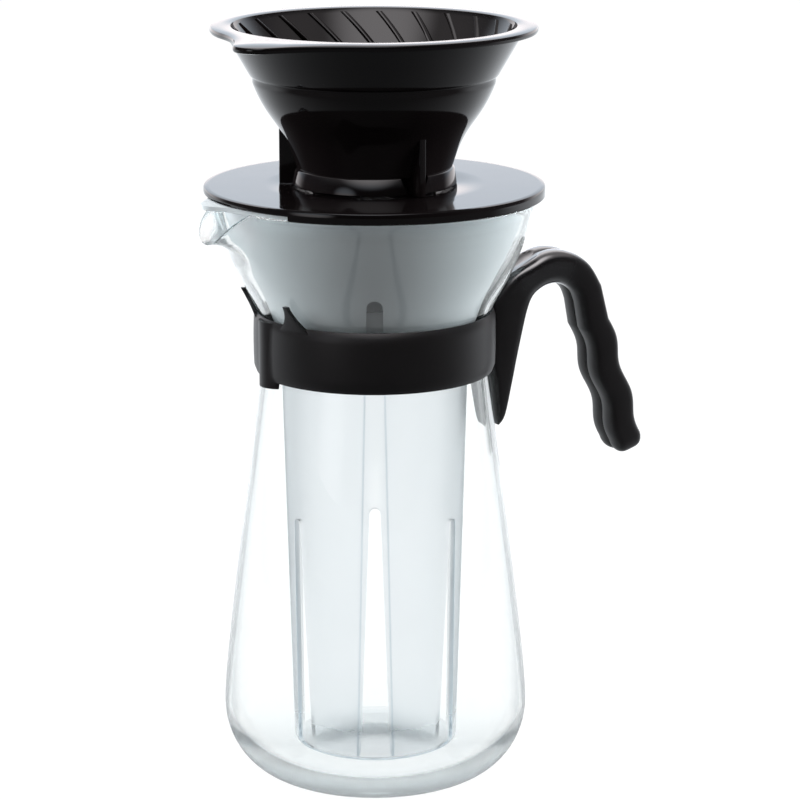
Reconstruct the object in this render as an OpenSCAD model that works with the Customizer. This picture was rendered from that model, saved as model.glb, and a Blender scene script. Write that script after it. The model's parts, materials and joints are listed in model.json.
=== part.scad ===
// Iced coffee maker: a glass server with a banded handle, an ice strainer, a lid and a cone dripper.
// The origin is the centre of the base, +Z is up, the handle is along +X and the pouring lip along -X.

/* [Glass server] */
// Height of the glass rim above the base
glass_h = 215.2; // [200:0.1:235]
// Thickness of the glass wall
glass_t = 2.2; // [1.8:0.1:3]
// Thickness of the glass floor
floor_t = 5; // [3:0.5:8]
// Radius of the flat base
base_r = 33.5; // [30:0.5:45]
// Radius of the belly
belly_r = 55.8; // [50:0.1:65]
// Height of the belly's widest point
belly_z = 26; // [16:1:30]
// Radius of the neck
neck_r = 40.2; // [39:0.1:46]
// Height of the neck's narrowest point
neck_z = 162; // [150:0.5:170]
// Radius of the rim
rim_r = 57.5; // [54:0.1:62]

/* [Pouring lip] */
// How far the lip reaches past the rim
lip_reach = 7.8; // [5:0.1:12]
// How far the lip dips below the rim
lip_drop = 11; // [5:0.5:12]
// Half the angle that the lip takes up
lip_half = 17; // [14:0.5:22]
// Height of the lip's bulge below the rim
lip_depth = 22; // [20:0.5:30]

/* [Ice strainer] */
// Thickness of the strainer wall
strainer_t = 1.8; // [1.4:0.1:2.4]
// Radius of the tube at its foot
tube_low_r = 30; // [26:0.5:32]
// Radius of the tube at the neck
tube_top_r = 33.8; // [32:0.1:36]
// Gap between the strainer's foot and the glass floor
foot_gap = 4; // [2:0.5:12]
// Gap between the funnel's top and the glass wall
funnel_gap = 1.1; // [0.8:0.1:2]
// Thickness of the flange that rests on the glass rim
flange_t = 1.6; // [1.2:0.1:2.5]
// How far the flange reaches past the rim
flange_over = 1.1; // [0.5:0.1:2]
// How far the tongue over the lip reaches past the rim
tongue_reach = 9.5; // [7:0.5:12]
// Number of windows in the tube
windows = 6; // [4:2:8]
// Height of the windows
window_h = 88; // [60:1:100]
// How much higher the windows in the flutes reach
flute_window_rise = 8.5; // [0:0.5:12]
// Width of a window at its foot
window_low_w = 11; // [6:0.5:12]
// Width of a window at its top
window_top_w = 4; // [3:0.5:6]
// Width of a flute at the tube's foot
flute_low_w = 13; // [12:0.5:16]
// Width of a flute at its arched top
flute_top_w = 5.6; // [5:0.1:8]
// Height of a flute's arched top above the neck
flute_rise = 24.4; // [18:0.2:28]
// Direction of the first flute
flute_turn = 244; // [0:1:359]

/* [Lid] */
// Thickness of the lid plate
lid_t = 2.3; // [1.8:0.1:4]
// How far the lid reaches past the rim
lid_over = 3.5; // [2.8:0.1:6]
// Depth of the skirt under the plate
skirt_h = 1.8; // [1:0.1:2]
// Half the angle where the skirt is cut away over the lip
skirt_cut = 35; // [32:1:45]
// Radius of the hole for the dripper
lid_hole_r = 24; // [22.5:0.5:25]
// Depth of the ring that centres the lid in the strainer
lid_ring_h = 1.8; // [1:0.1:2]

/* [Dripper] */
// Height of the dripper above the lid
dripper_h = 56.5; // [52:0.5:64]
// Radius of the cone's opening
cone_r = 50.5; // [48:0.5:53]
// Radius of the outlet
outlet_r = 9.5; // [7:0.5:12]
// Thickness of the cone wall below the lid
cone_t = 3; // [2.5:0.1:3.5]
// Width of the flat rim
brim_w = 7.5; // [5:0.5:10]
// Thickness of the flat rim
brim_t = 2.4; // [2:0.1:4]
// How far the finger tab reaches past the rim
tab_reach = 18; // [14:0.5:26]
// Radius of the tab's round end
tab_end_r = 9; // [6:0.5:11]
// Radius of the hollow where the tab leaves the rim
tab_blend_r = 30; // [10:1:60]
// Number of spiral ribs, long and short by turns
ribs = 24; // [16:2:28]
// Height of a rib
rib_h = 1.5; // [1:0.1:2]
// Width of a rib at its root
rib_w = 2.4; // [1.8:0.1:3]
// Turn of a long rib from its top to the outlet
rib_twist = 75; // [30:1:90]
// Radius that the fins reach
fin_r = 33.9; // [31:0.1:36]
// Thickness of a fin
fin_t = 2.6; // [2:0.1:4]
// Height of a fin
fin_h = 22.6; // [16:0.1:26]
// Outer radius of the foot ring
foot_r = 29.4; // [28.6:0.1:30.5]
// Height of the foot ring
foot_h = 6; // [4:0.5:7]
// Direction of the finger tab
tab_turn = 209; // [0:1:359]

/* [Band] */
// Height of the band
band_h = 22; // [18:0.5:24]
// Thickness of the band at its middle
band_t = 3.35; // [2.5:0.05:6]
// Height of the ears beside the lip
ear_h = 8; // [5:0.5:10]
// Thickness of an ear
ear_t = 1.6; // [1:0.1:2.5]
// Half the angle between the ears
ear_half = 23; // [16:0.5:26]
// Radius of the upright rib between the ears
rib_post_r = 7.5; // [6:0.5:9]

/* [Handle] */
// Thickness of the handle from side to side
handle_t = 17; // [14:0.5:22]
// Width of the grip seen from the side
grip_w = 11.8; // [10:0.2:14]
// Drop of the grip below the arch
grip_drop = 54; // [40:1:60]
// Lean of the grip away from the glass
grip_lean = 17.6; // [10:0.2:24]
// Pitch of the finger waves
wave_pitch = 22.5; // [18:0.5:28]
// Depth of a finger wave to either side
wave_depth = 1; // [0.5:0.1:2]
// Radius of the thumb scoop
scoop_r = 13; // [10:0.5:18]
// Depth of the thumb scoop
scoop_depth = 1.4; // [0.8:0.1:2]

/* [Fastening] */
// Diameter of the band screw
screw_d = 4; // [3:0.5:5]
// Height of the screw's head
head_h = 2.4; // [1.5:0.1:3]
// Width of the lug on the band
lug_w = 10; // [10:0.5:12]
// Height of the lug on the band
lug_h = 12; // [10:0.5:14]
// Length of the lug past the band
lug_l = 8.2; // [7.5:0.1:9]
// Width of the square nut
nut_w = 7; // [6:0.5:7.5]
// Thickness of the nut
nut_t = 2.4; // [2:0.1:3]

/* [Fits] */
// Gap under a piece that lifts off
seat_gap = 0.2; // [0.1:0.05:0.4]
// Gap between the band and the glass, and between the handle and the band
clasp_gap = 0.25; // [0.2:0.05:0.4]
// Gap round the lid's ring and inside its skirt
lid_gap = 0.5; // [0.3:0.1:0.8]
// Gap round the screw and the nut
screw_gap = 0.2; // [0.1:0.05:0.3]

/* [Hidden] */
$fn = 96;

// Lean of the glass at the rim, outward for each unit of height
rim_lean = 0.2;
// Pulls that shape the glass curves at the belly, the neck from below and above, and the rim
belly_pull = 20;
neck_pull_below = 11;
neck_pull_above = 19;
rim_pull = 35;
// Powers that round off the lip's reach and its dip toward their sides
reach_power = 2;
drop_power = 1.2;
// Step where the flare stands on the body and how far it sinks in, hidden behind the band
flare_step = 0.15;
// Pulls that shape the funnel at the neck and at its top
funnel_pull_low = 17;
funnel_pull_top = 20;
// Depth below the rim where the funnel becomes upright, and where it leaves the tube below the neck
funnel_top_drop = 2.5;
funnel_start = 4;
// Radius of the strainer's foot corner, of the tongue's end, and of the hollow beside the tongue
foot_corner_r = 4;
tongue_end_r = 6;
tongue_blend_r = 60;
// Sill under a window
window_sill = 0.5;
// Wall round a flute inside the funnel, how far below the neck it starts, and its drop below the arch
flute_wall = 1.5;
flute_wall_start = 12;
flute_wall_drop = 6.4;
// Cut corner round the lid
lid_edge = 0.6;
// Half angle of the brewing cone, and the upright edge above it
cone_half_angle = 30;
cone_edge = 0.8;
// Fall from the brim to the ledge round the cone, its width and height, and the upright wall under it
ledge_drop = 17.4;
ledge_w = 1;
ledge_h = 0.4;
ledge_wall = 2.4;
// Widths of the cone at the brim and at the ledge, past the opening's radius
bell_over = 3;
ledge_under = 6.3;
// Radius of the cone where it meets the foot ring, inside the ring's own
bowl_foot_in = 1.6;
// Pulls that shape the bowl at the ledge and at the foot, and their lean
bowl_pull_top = 15;
bowl_pull_low = 17;
bowl_lean_top = 0.4;
bowl_lean_low = 0.3;
// Start of a rib below the cone's edge, its end above the outlet, and its depth in the wall
rib_start = 0.5;
rib_end = 1;
rib_root = 0.6;
// Share of a rib's width at its crest, and share of its length on a short rib
rib_crest = 0.45;
rib_short = 0.5;
// Turn of the ribs and of the first fin from the finger tab
rib_turn = 3;
fin_turn = 65;
fins = 3;
// Half width of the notch in the foot ring at a fin, at its foot and its top
notch_low = 3.2;
notch_top = 5.6;
// Thickness of the foot ring, its inward lean, and how far it reaches up into the bowl
foot_t = 3.2;
foot_lean = 0.9;
foot_blend = 1.5;
// Bulge of the band, its corner cut, and how far its rib stands out and hangs below it
band_bulge = 0.3;
band_corner = 0.7;
post_out = 1.2;
post_hang = 2.5;
// Half the width of an ear at its foot and its tip, and how far its foot reaches down into the band
ear_half_w = 7;
ear_tip = 0.9;
ear_root = 2;
// Rise of the band's middle above the neck
band_rise = 1;
// Least gap between the handle and the glass, and how far under the band the handle keeps its curve
glass_gap = 1.5;
under_band = 8;
// Wall between the lug and the screw's head, the gap at the screw's tip, and the bore's run past the band
head_seat = 3;
screw_tip = 1;
bore_run = 30;
// Depth of the parting groove round the handle
groove = 0.5;
// Steps along curves
fine = 16;
// Steps round the base corner
base_steps = 8;
// Small overlap that makes a cut clean
eps = 0.05;

// Radial and height levels worked out from the sizes above
rim_z = glass_h - glass_t / 2 * (1 + rim_lean);
band_mid = neck_z + band_rise;
band_r = neck_r + clasp_gap + band_t;
band_low = band_mid - band_h / 2;
band_top = band_mid + band_h / 2;
foot_z = floor_t + foot_gap;
flange_z = glass_h + seat_gap;
flange_r = rim_r + flange_over;
funnel_r = rim_r - glass_t - funnel_gap;
lid_z = flange_z + flange_t + seat_gap;
lid_top = lid_z + lid_t;
lid_r = rim_r + lid_over;
drip_z = lid_top + seat_gap;
drip_top = drip_z + dripper_h;
brim_r = cone_r + brim_w;
brim_mid = drip_top - brim_t / 2;
cone_slope = tan(cone_half_angle);
cone_start = drip_top - cone_edge;
outlet_z = cone_start - (cone_r - outlet_r) / cone_slope;
flute_top = neck_z + flute_rise;
nut_x = band_r + lug_l / 2 - nut_t;
head_x = band_r + lug_l + head_seat;
head_d = 2 * screw_d;
bore_d = screw_d + 2 * screw_gap;

// A point on the smooth curve that four points pull
function bend(p, t) =
    pow(1 - t, 3) * p[0] + 3 * pow(1 - t, 2) * t * p[1] + 3 * (1 - t) * t * t * p[2] + pow(t, 3) * p[3];
function curve(p, n) = [for (i = [0 : n]) bend(p, i / n)];
// A quarter of an ellipse from the bottom of a corner to its side
function corner(r, z, w, h, n) =
    [for (i = [0 : n]) [r + w * sin(90 * i / n), z + h * (1 - cos(90 * i / n))]];
function reverse(p) = [for (i = [len(p) - 1 : -1 : 0]) p[i]];
function inset(p, d) = [for (q = p) [q[0] - d, q[1]]];
// Radius of an outline at a height
function radius_at(p, z) = lookup(z, [for (q = p) [q[1], q[0]]]);

// The glass outline, from the base corner up to the neck, and from the neck up to the rim
glass_body = concat(
    corner(base_r, 0, belly_r - base_r, belly_z, base_steps),
    [for (i = [1 : fine]) bend([[belly_r, belly_z], [belly_r, belly_z + belly_pull],
        [neck_r, neck_z - neck_pull_below], [neck_r, neck_z]], i / fine)]);
glass_flare = curve([[neck_r, neck_z], [neck_r, neck_z + neck_pull_above],
    [rim_r - rim_lean * rim_pull, rim_z - rim_pull], [rim_r, rim_z]], fine);
glass_outline = concat(glass_body, glass_flare);
function glass_r(z) = radius_at(glass_outline, z);

// How strongly the lip pulls at an angle from its middle
function lip_share(a, power) = abs(a) < lip_half ? pow(cos(90 * pow(abs(a) / lip_half, power)), 2) : 0;
function lip_ramp(z) = pow(max(0, (z - rim_z + lip_depth) / lip_depth), 2);
function lipped(p, a) = [
    p[0] + lip_reach * lip_ramp(p[1]) * lip_share(a, reach_power),
    p[1] - lip_drop * lip_ramp(p[1]) * lip_share(a, drop_power)];

// Directions along and across an outline at one of its points
function along(p, i) =
    let (d = p[min(i + 1, len(p) - 1)] - p[max(i - 1, 0)]) d / norm(d);
function across(p, i) = let (d = along(p, i)) [d[1], -d[0]];

// The closed section of the flare at an angle from the lip: outside, rim and inside
function flare_section(a) =
    let (
        out = [for (q = glass_flare) lipped(q, a)],
        top = len(out) - 1,
        side = across(out, top),
        up = along(out, top),
        mid = out[top] - side * glass_t / 2)
    concat(
        [out[0] - [flare_step, flare_step]],
        [for (i = [1 : top]) out[i]],
        [for (w = [45, 90, 135]) mid + glass_t / 2 * (cos(w) * side + sin(w) * up)],
        [for (i = [top : -1 : 1]) out[i] - glass_t * across(out, i)],
        [out[0] - [glass_t - flare_step, flare_step]]);

// Faces between the rings of a solid that closes on itself round the axis, or is capped at both ends
function ring_faces(rings, points, closed) = concat(
    [for (i = [0 : rings - (closed ? 1 : 2)], j = [0 : points - 1], half = [0, 1])
        let (
            k = (i + 1) % rings,
            m = (j + 1) % points,
            a = i * points + j,
            b = i * points + m,
            c = k * points + m,
            d = k * points + j)
        half == 0 ? [a, b, c] : [a, c, d]],
    closed ? [] : concat(
        [for (j = [1 : points - 2]) [0, j + 1, j]],
        [for (j = [1 : points - 2]) (rings - 1) * points * [1, 1, 1] + [0, j, j + 1]]));

// A plate outline with a round body and a rounded tab along +X, whose sides leave the body in a hollow
module tabbed_disc(r, end_r, reach, blend_r) {
    d = r + reach - end_r;
    x = (pow(r + blend_r, 2) - pow(end_r + blend_r, 2) + d * d) / (2 * d);
    y = sqrt(pow(r + blend_r, 2) - x * x);
    circle(r);
    translate([d, 0])
        circle(end_r);
    difference() {
        polygon([[0, 0], [x, y], [d, 0], [x, -y]]);
        for (side = [-1, 1])
            translate([x, side * y])
                circle(blend_r);
    }
}

// An outline of [across, height] points cut or raised radially outward from a radius
module radial_prism(turn, from_r, to_r) {
    rotate([0, 0, turn])
        translate([from_r, 0, 0])
            rotate([90, 0, 90])
                linear_extrude(to_r - from_r)
                    children();
}

// Everything inside the glass outline, grown by a gap
module glass_filled(gap) {
    rotate_extrude()
        polygon(concat([[0, 0]], inset(glass_outline, -gap), [[0, rim_z]]));
}

module glass_server() {
    inner_r = belly_r - glass_t;
    inside = concat(
        corner(base_r - glass_t, floor_t, inner_r - base_r + glass_t, belly_z - floor_t, base_steps),
        [for (i = [base_steps + 1 : len(glass_body) - 1]) glass_body[i] - [glass_t, 0]]);
    lip_steps = 7;
    wall_steps = 46;
    turns = concat(
        [for (i = [-lip_steps : lip_steps]) lip_half * i / lip_steps],
        [for (i = [1 : wall_steps - 1]) lip_half + (360 - 2 * lip_half) * i / wall_steps]);
    sections = [for (a = turns) flare_section(a > 180 ? a - 360 : a)];
    points = len(sections[0]);
    color([0.82, 0.89, 0.92, 0.35])
    union() {
        rotate_extrude()
            polygon(concat([[0, 0]], glass_body, reverse(inside), [[0, floor_t]]));
        polyhedron(
            [for (i = [0 : len(turns) - 1], q = sections[i])
                [q[0] * cos(turns[i] + 180), q[0] * sin(turns[i] + 180), q[1]]],
            ring_faces(len(turns), points, true), 4);
    }
}

// The strainer's outside, from its foot corner up to the underside of the flange
function strainer_outline() = concat(
    corner(tube_low_r - foot_corner_r, foot_z, foot_corner_r, foot_corner_r, 4),
    curve([[tube_top_r, neck_z - funnel_start], [tube_top_r, neck_z - funnel_start + funnel_pull_low],
        [funnel_r - rim_lean * funnel_pull_top, glass_h - funnel_top_drop - funnel_pull_top],
        [funnel_r, glass_h - funnel_top_drop]], fine),
    [[funnel_r, flange_z + flange_t]]);

module strainer_shell() {
    outside = strainer_outline();
    inside = [for (q = outside) [q[0] - strainer_t, max(q[1], foot_z + strainer_t)]];
    rotate_extrude()
        polygon(concat([[0, foot_z]], outside, reverse(inside), [[0, foot_z + strainer_t]]));
    translate([0, 0, flange_z])
        linear_extrude(flange_t)
            difference() {
                rotate(180)
                    tabbed_disc(flange_r, tongue_end_r, tongue_reach - flange_over, tongue_blend_r);
                circle(funnel_r - strainer_t);
            }
}

// The outline of a flute, widening downward from its arched top
module flute_outline(grow) {
    arch = flute_top_w / 2;
    polygon([
        [-flute_low_w / 2 - grow, floor_t],
        [flute_low_w / 2 + grow, floor_t],
        [arch + grow, flute_top - arch],
        [-arch - grow, flute_top - arch]]);
    translate([0, flute_top - arch])
        circle(arch + grow);
}

// The space of a flute, whose flat floor leans with the tube
module flute_space(turn, grow, deeper) {
    low = sqrt(pow(tube_low_r, 2) - pow(flute_low_w / 2, 2));
    top = sqrt(pow(tube_top_r, 2) - pow(flute_top_w / 2, 2));
    lean = atan((top - low) / (flute_top - foot_z));
    rotate([0, 0, turn])
        translate([low - deeper, 0, foot_z])
            rotate([0, lean, 0])
                translate([0, 0, -foot_z])
                    radial_prism(0, 0, rim_r)
                        flute_outline(grow);
}

module window_outline(rise) {
    low = foot_z + strainer_t + window_sill;
    arch = window_top_w / 2;
    top = low + window_h + rise - arch;
    polygon([
        [-window_low_w / 2, low],
        [window_low_w / 2, low],
        [arch, top],
        [-arch, top]]);
    translate([0, top])
        circle(arch);
}

module ice_strainer() {
    color([0.93, 0.95, 0.96, 0.7])
    difference() {
        union() {
            strainer_shell();
            for (turn = [flute_turn, flute_turn + 180])
                intersection() {
                    flute_space(turn, flute_wall, flute_wall);
                    rotate_extrude()
                        polygon(concat([[0, neck_z - flute_wall_start]],
                            [for (q = strainer_outline()) if (q[1] > neck_z - flute_wall_start) q],
                            [[0, flange_z + flange_t]]));
                    cylinder(r = rim_r, h = flute_top - flute_wall_drop);
                }
        }
        for (turn = [flute_turn, flute_turn + 180])
            flute_space(turn, 0, 0);
        for (i = [0 : windows - 1])
            radial_prism(flute_turn + 360 * i / windows, tube_low_r / 2, rim_r)
                window_outline(i % (windows / 2) == 0 ? flute_window_rise : 0);
    }
}

module lid() {
    ring_r = funnel_r - strainer_t - lid_gap;
    color([0.05, 0.05, 0.06])
    difference() {
        union() {
            rotate_extrude()
                polygon([
                    [lid_hole_r, lid_z], [lid_r, lid_z], [lid_r, lid_top - lid_edge],
                    [lid_r - lid_edge, lid_top], [lid_hole_r, lid_top]]);
            rotate_extrude()
                polygon([
                    [flange_r + lid_gap, lid_z + eps], [flange_r + lid_gap, lid_z - skirt_h],
                    [lid_r, lid_z - skirt_h], [lid_r, lid_z + eps]]);
            rotate_extrude()
                polygon([
                    [ring_r - strainer_t, lid_z + eps], [ring_r - strainer_t, lid_z - lid_ring_h],
                    [ring_r, lid_z - lid_ring_h], [ring_r, lid_z + eps]]);
        }
        translate([0, 0, lid_z - 2 * skirt_h])
            linear_extrude(2 * skirt_h)
                difference() {
                    polygon([
                        [0, 0],
                        2 * lid_r * [-cos(skirt_cut), sin(skirt_cut)],
                        2 * lid_r * [-cos(skirt_cut), -sin(skirt_cut)]]);
                    circle(flange_r);
                }
    }
}

// Radius of the brewing cone's inside at a height
function cone_at(z) = outlet_r + (z - outlet_z) * cone_slope;

// One spiral rib on the inside of the cone, as rings of four points down its length
module spiral_rib(turn, share) {
    steps = 7;
    top = cone_start - rib_start;
    rings = [for (i = [0 : steps])
        let (
            s = share * i / steps,
            z = top - s * (top - outlet_z - rib_end),
            a = turn - rib_twist * s,
            r = cone_at(z),
            root = r + rib_root,
            crest = r - rib_h,
            wide = rib_w / 2 / r * 180 / PI,
            slim = wide * rib_crest)
        [[root, a - wide, z], [root, a + wide, z], [crest, a + slim, z], [crest, a - slim, z]]];
    polyhedron(
        [for (ring = rings, q = ring) [q[0] * cos(q[1]), q[0] * sin(q[1]), q[2]]],
        ring_faces(steps + 1, 4, false), 4);
}

// The dripper's outside, from the brim down over the ledge and bowl to the outlet
function dripper_outline() =
    let (
        ledge_z = drip_top - ledge_drop,
        ledge_r = cone_r - ledge_under,
        bowl_top_r = ledge_r - ledge_w,
        bowl_top_z = ledge_z - ledge_h - ledge_wall,
        bowl_r = foot_r - bowl_foot_in,
        bowl_z = drip_z + foot_h,
        wall = cone_t / cos(cone_half_angle))
    concat(
        [[cone_r + bell_over, brim_mid], [ledge_r, ledge_z], [bowl_top_r, ledge_z - ledge_h]],
        curve([[bowl_top_r, bowl_top_z],
            [bowl_top_r - bowl_lean_top * bowl_pull_top, bowl_top_z - bowl_pull_top],
            [bowl_r + bowl_lean_low * bowl_pull_low, bowl_z + bowl_pull_low],
            [bowl_r, bowl_z]], fine),
        [[cone_at(bowl_z) + wall, bowl_z], [outlet_r + wall, outlet_z]]);

// The foot ring under the bowl, open beside each fin
module foot_ring() {
    inner_r = foot_r - foot_t;
    top = drip_z + foot_h;
    blend_top = top + foot_blend;
    difference() {
        rotate_extrude()
            polygon([
                [inner_r, drip_z], [foot_r, drip_z], [foot_r - foot_lean, top],
                [foot_r - bowl_foot_in, top], [inner_r, blend_top]]);
        for (i = [0 : fins - 1])
            radial_prism(fin_turn + 360 * i / fins, inner_r - foot_t, foot_r + foot_t)
                polygon([
                    [-notch_low, drip_z - eps], [notch_low, drip_z - eps], [notch_top, top],
                    [notch_top, blend_top + eps], [-notch_top, blend_top + eps], [-notch_top, top]]);
    }
}

module dripper() {
    fin_in = cone_at(drip_z);
    color([0.04, 0.04, 0.05])
    rotate([0, 0, tab_turn]) {
        difference() {
            union() {
                rotate_extrude()
                    polygon(concat([[0, brim_mid]], dripper_outline(), [[0, outlet_z]]));
                translate([0, 0, drip_top - brim_t])
                    linear_extrude(brim_t)
                        tabbed_disc(brim_r, tab_end_r, tab_reach, tab_blend_r);
                foot_ring();
                for (i = [0 : fins - 1])
                    intersection() {
                        rotate([0, 0, fin_turn + 360 * i / fins])
                            translate([fin_in, -fin_t / 2, drip_z])
                                cube([fin_r, fin_t, fin_h]);
                        cylinder(r = fin_r, h = drip_top);
                    }
            }
            rotate_extrude()
                polygon([
                    [0, outlet_z - eps], [outlet_r - eps * cone_slope, outlet_z - eps],
                    [cone_r, cone_start], [cone_r, drip_top + eps], [0, drip_top + eps]]);
        }
        for (i = [0 : ribs - 1])
            spiral_rib(rib_turn + 360 * i / ribs, i % 2 == 0 ? 1 : rib_short);
    }
}

// Half the width of an ear falls away in a hollow curve to its tip
module ear_outline() {
    steps = 8;
    function half(s) = ear_tip + (ear_half_w - ear_tip) * pow(1 - s, 2);
    side = [for (i = [0 : steps]) [half(i / steps), band_top - ear_root + (ear_h + ear_root) * i / steps]];
    polygon(concat(side, [for (q = reverse(side)) [-q[0], q[1]]]));
}

module band() {
    steps = 10;
    outside = [for (i = [0 : steps])
        let (s = 2 * i / steps - 1)
        [band_r - band_bulge * s * s - (abs(s) == 1 ? band_corner : 0), band_mid + band_h / 2 * s]];
    collar = [for (i = [0 : steps])
        let (z = band_top - 2 * ear_root + (ear_h + 3 * ear_root) * i / steps)
        [glass_r(z) + clasp_gap + ear_t, z]];
    color([0.07, 0.065, 0.07])
    difference() {
        union() {
            rotate_extrude()
                polygon(concat([[0, band_low]], outside, [[0, band_top]]));
            translate([-band_r + rib_post_r - post_out, 0, band_low - post_hang])
                cylinder(r = rib_post_r, h = band_h + post_hang - band_corner);
            for (turn = [180 - ear_half, 180 + ear_half])
                intersection() {
                    rotate_extrude()
                        polygon(concat([[0, collar[0][1]]], collar, [[0, collar[steps][1]]]));
                    radial_prism(turn, neck_r / 2, rim_r)
                        ear_outline();
                }
            translate([neck_r, -lug_w / 2, band_mid - lug_h / 2])
                cube([band_r + lug_l - neck_r, lug_w, lug_h]);
        }
        glass_filled(clasp_gap);
        translate([band_r, 0, band_mid])
            rotate([0, 90, 0])
                cylinder(d = bore_d, h = 2 * lug_l);
        translate([nut_x - screw_gap, -nut_w / 2 - screw_gap, band_mid - nut_w / 2 - screw_gap])
            cube([nut_t + 2 * screw_gap, nut_w + 2 * screw_gap, lug_h]);
    }
}

// Stations along the handle, from the lower tip of the spine up, over the arch and down the grip.
// Each has the inner edge, the outer edge, measured from the band's middle, and a share of the thickness.
spine_stations = [
    [[5.6, -37.4], [4.8, -37.4], 0.5],
    [[7.6, -33], [3.8, -34], 0.75],
    [[10, -21], [1.4, -21], 0.95],
    [[12, -12], [-1, -12], 1],
    [[14.4, -2], [-1, -1], 1],
    [[16.4, 5.5], [0, 10], 1],
    [[18.3, 10.1], [7.6, 19.2], 1],
    [[21.6, 12.8], [16.5, 23.4], 1],
    [[25, 13.9], [23, 26.2], 1],
    [[28.5, 13.9], [29.3, 26.8], 1],
    [[32.3, 12.5], [36, 24.8], 1],
    [[36, 9.4], [42.4, 20], 1],
    [[37.8, 5], [47.2, 12.4], 1]];

// Line along the floor of the thumb scoop to its round end, measured the same way, and its run below it
scoop_low = [7.6, 19.2];
scoop_top = [18.6, 24.6];
scoop_run = 10;

// A smooth path through the stations
function blend(a, b, c, d, t) =
    0.5 * (2 * b + (c - a) * t + (2 * a - 5 * b + 4 * c - d) * t * t + (3 * b - a - 3 * c + d) * t * t * t);
function between(list, i, t, k) =
    blend(list[max(i - 1, 0)][k], list[i][k], list[i + 1][k], list[min(i + 2, len(list) - 1)][k], t);

// The wavy grip below the arch, and its rounded end
grip_top = [44.5, 0.5];
wave_start = 4.4;
function grip_station(s, wide, thick) =
    let (
        drop = grip_drop * s,
        wave = wave_depth * sin(360 * (grip_drop * min(s, 1 - grip_round) - wave_start) / wave_pitch),
        mid = grip_top + [drop * tan(grip_lean) + wave, -drop],
        side = grip_w / 2 * wide * [cos(grip_lean), sin(grip_lean)])
    [mid - side, mid + side, thick];
grip_steps = 15;
grip_round = 0.1;
grip_end = [[1, 1], [0.9, 0.92], [0.68, 0.75], [0.25, 0.35]];
handle_stations = concat(
    [for (i = [0 : len(spine_stations) - 2], t = [0, 0.5])
        [for (k = [0 : 2]) between(spine_stations, i, t, k)]],
    [spine_stations[len(spine_stations) - 1]],
    [for (i = [1 : grip_steps]) grip_station((1 - grip_round) * i / grip_steps, 1, 1)],
    [for (i = [1 : len(grip_end) - 1])
        let (s = 1 - grip_round * (1 - sin(90 * i / (len(grip_end) - 1))))
        grip_station(s, grip_end[i][0], grip_end[i][1])]);

// Half of a rounded section between the inner and outer edges, with a groove along the parting line
function half_section(st) =
    let (mid = (st[0] + st[1]) / 2, side = (st[1] - st[0]) / 2, steps = 8,
         cut = min(groove, norm(side) / 4))
    [for (i = [0 : steps])
        let (
            w = 180 * i / steps,
            c = sign(cos(w)) * sqrt(abs(cos(w))),
            rim = i == 0 || i == steps ? 1 - cut / norm(side) : 1,
            p = mid + side * c * rim)
        [p[0] + band_r, st[2] * handle_t / 2 * sqrt(abs(sin(w))), p[1] + band_mid]];

module handle_half() {
    sections = [for (st = handle_stations) half_section(st)];
    rise = scoop_top - scoop_low;
    difference() {
        polyhedron([for (s = sections, q = s) q], ring_faces(len(sections), len(sections[0]), false), 4);
        translate([0, 0, band_low - under_band])
            cylinder(r = band_r + clasp_gap, h = under_band + band_h + clasp_gap);
        glass_filled(glass_gap);
        translate([neck_r, -lug_w / 2 - clasp_gap, band_mid - lug_h / 2 - clasp_gap])
            cube([band_r + lug_l + clasp_gap - neck_r, lug_w + 2 * clasp_gap, lug_h + 2 * clasp_gap]);
        translate([band_r, 0, band_mid])
            rotate([0, 90, 0])
                cylinder(d = bore_d, h = bore_run);
        translate([head_x, 0, band_mid])
            rotate([0, 90, 0])
                cylinder(d = head_d + 2 * screw_gap, h = band_r + bore_run - head_x);
        translate([band_r + scoop_low[0], 0, band_mid + scoop_low[1]])
            rotate([0, 90 - atan2(rise[1], rise[0]), 0])
                translate([-scoop_r + scoop_depth, 0, norm(rise)]) {
                    translate([0, 0, -norm(rise) - scoop_run])
                        cylinder(r = scoop_r, h = norm(rise) + scoop_run);
                    sphere(r = scoop_r);
                }
    }
}

module handle_left() {
    color([0.07, 0.065, 0.07])
        handle_half();
}

module handle_right() {
    color([0.07, 0.065, 0.07])
        mirror([0, 1, 0])
            handle_half();
}

module band_screw() {
    color([0.7, 0.7, 0.72])
    translate([0, 0, band_mid])
        rotate([0, 90, 0]) {
            translate([0, 0, band_r + screw_tip])
                cylinder(d = screw_d, h = head_x + screw_gap + eps - band_r - screw_tip);
            translate([0, 0, head_x + screw_gap])
                cylinder(d = head_d, h = head_h);
        }
}

module band_nut() {
    color([0.7, 0.7, 0.72])
    difference() {
        translate([nut_x, -nut_w / 2, band_mid - nut_w / 2])
            cube([nut_t, nut_w, nut_w]);
        translate([nut_x - eps, 0, band_mid])
            rotate([0, 90, 0])
                cylinder(d = screw_d + screw_gap, h = nut_t + 2 * eps);
    }
}

glass_server();
ice_strainer();
lid();
dripper();
band();
handle_left();
handle_right();
band_screw();
band_nut();
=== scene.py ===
# %% [markdown]
# # Dressing an iced coffee maker
#
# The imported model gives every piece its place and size: a glass server with a clasped handle, a frosted
# ice strainer, a lid and a cone dripper. This lesson keeps that frame fixed and makes the pieces look real.
# Pieces that need smoother glass or softer edges are modelled again over their solids, at the same sizes.

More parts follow.
